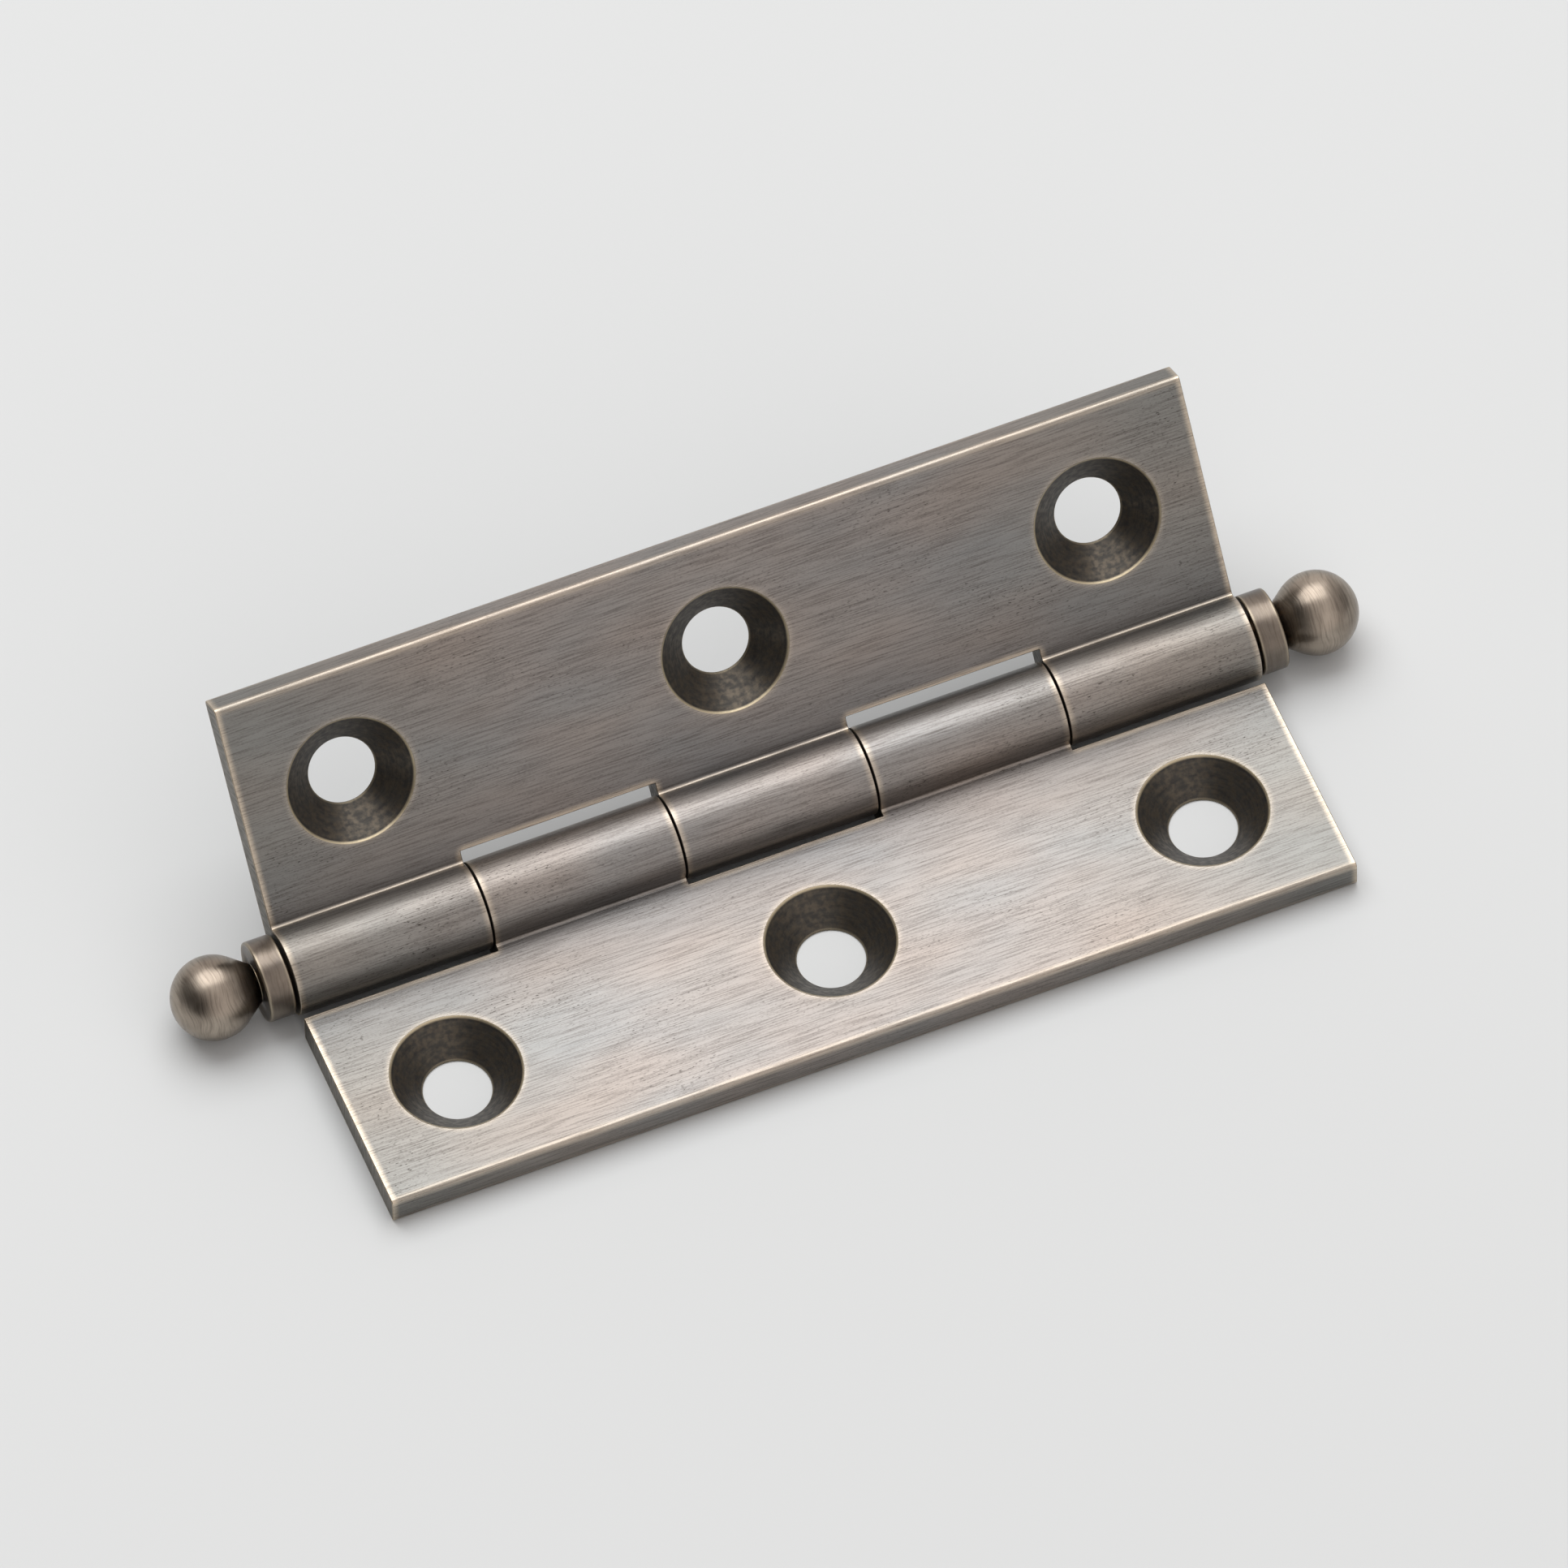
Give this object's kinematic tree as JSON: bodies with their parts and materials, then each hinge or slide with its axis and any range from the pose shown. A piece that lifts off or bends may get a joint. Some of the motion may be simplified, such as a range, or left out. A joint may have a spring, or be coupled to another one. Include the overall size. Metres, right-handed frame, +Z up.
{
  "type": "cabinet butt hinge",
  "caption": "Solid-drawn butt hinge for cabinet doors, with countersunk leaves, interleaved knuckles, a through pin, end collars and ball finials.",
  "frame": {"origin": "middle of the bottom of the whole hinge's box, with the front leaf lying flat and the back leaf 57 degrees up from flat", "axes": "+X along the hinge axis to the right, -Y towards the front leaf's outer edge, +Z up, square to the front leaf"},
  "size_m": [0.0788, 0.0298, 0.0173],
  "materials": {
    "aged_bronze_leaf": "aged bronze patina over brass, brushed along the length, rubbed lighter at the edges",
    "aged_bronze_turned": "aged bronze patina over turned brass, fine brushed",
    "bronze_pin": "drawn brass, plain"
  },
  "bodies": {
    "front_leaf_body": {"front_leaf": "aged_bronze_leaf"},
    "back_leaf_body": {"back_leaf": "aged_bronze_leaf", "hinge_pin": "bronze_pin", "left_collar": "aged_bronze_turned", "right_collar": "aged_bronze_turned", "left_finial": "aged_bronze_turned", "right_finial": "aged_bronze_turned"}
  },
  "joints": [
    {"name": "leaf_swing", "type": "hinge", "parent": "front_leaf_body", "child": "back_leaf_body", "pos_m": [0, 0.00296, 0.0028], "axis": [1, 0, 0], "range_deg": [-147, 123]}
  ]
}
